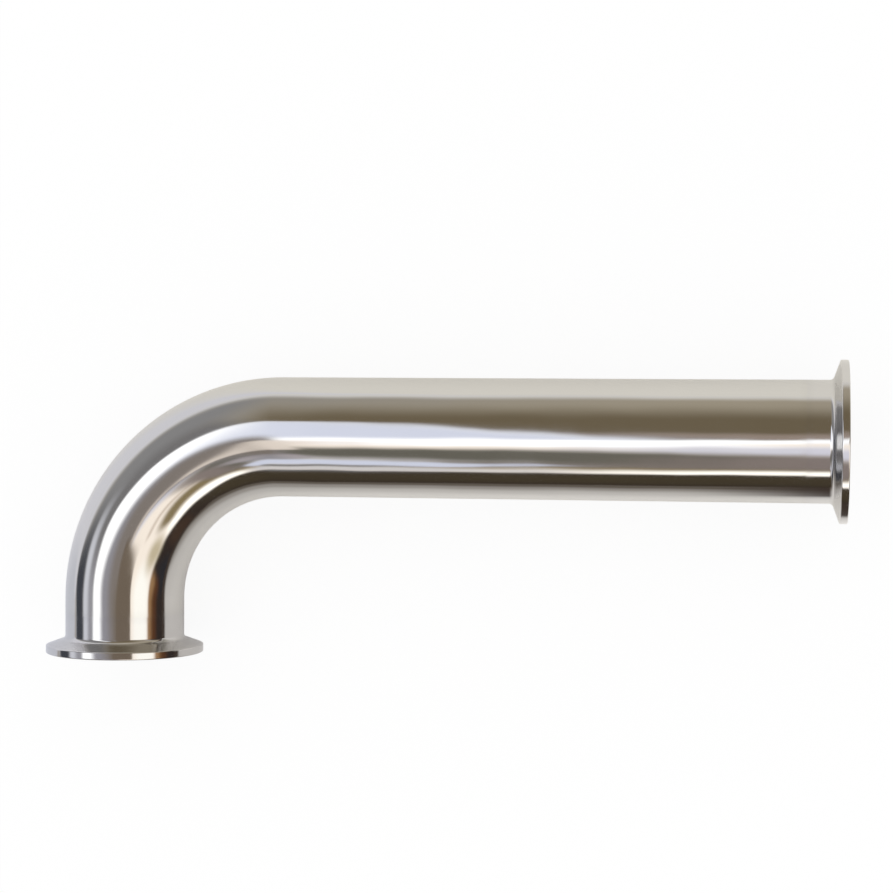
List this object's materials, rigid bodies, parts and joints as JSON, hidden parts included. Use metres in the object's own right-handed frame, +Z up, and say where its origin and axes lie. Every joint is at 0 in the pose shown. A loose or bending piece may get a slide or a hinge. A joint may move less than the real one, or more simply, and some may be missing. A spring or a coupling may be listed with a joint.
{
  "type": "sanitary ninety degree elbow",
  "caption": "Polished stainless tube elbow with a short and a long leg at right angles, each ending in a grooved flange for a sanitary clamp.",
  "frame": {"origin": "centre of the short leg's sealing face, on the tube's axis", "axes": "+Y from the short leg's face up the short leg to the bend; +X along the long leg towards its port; +Z up, square to the plane of both legs. The elbow lies flat, on the rims of its flanges"},
  "size_m": [0.2553, 0.0953, 0.0506],
  "materials": {
    "polished_tube": "mechanically polished stainless steel, near mirror with a faint lengthwise grain",
    "turned_ferrule": "turned stainless steel, satin on the tapered back and face, bright on the rim and neck"
  },
  "bodies": {
    "root": {"bent_tube": "polished_tube", "short_leg_ferrule": "turned_ferrule", "long_leg_ferrule": "turned_ferrule"}
  },
  "joints": []
}
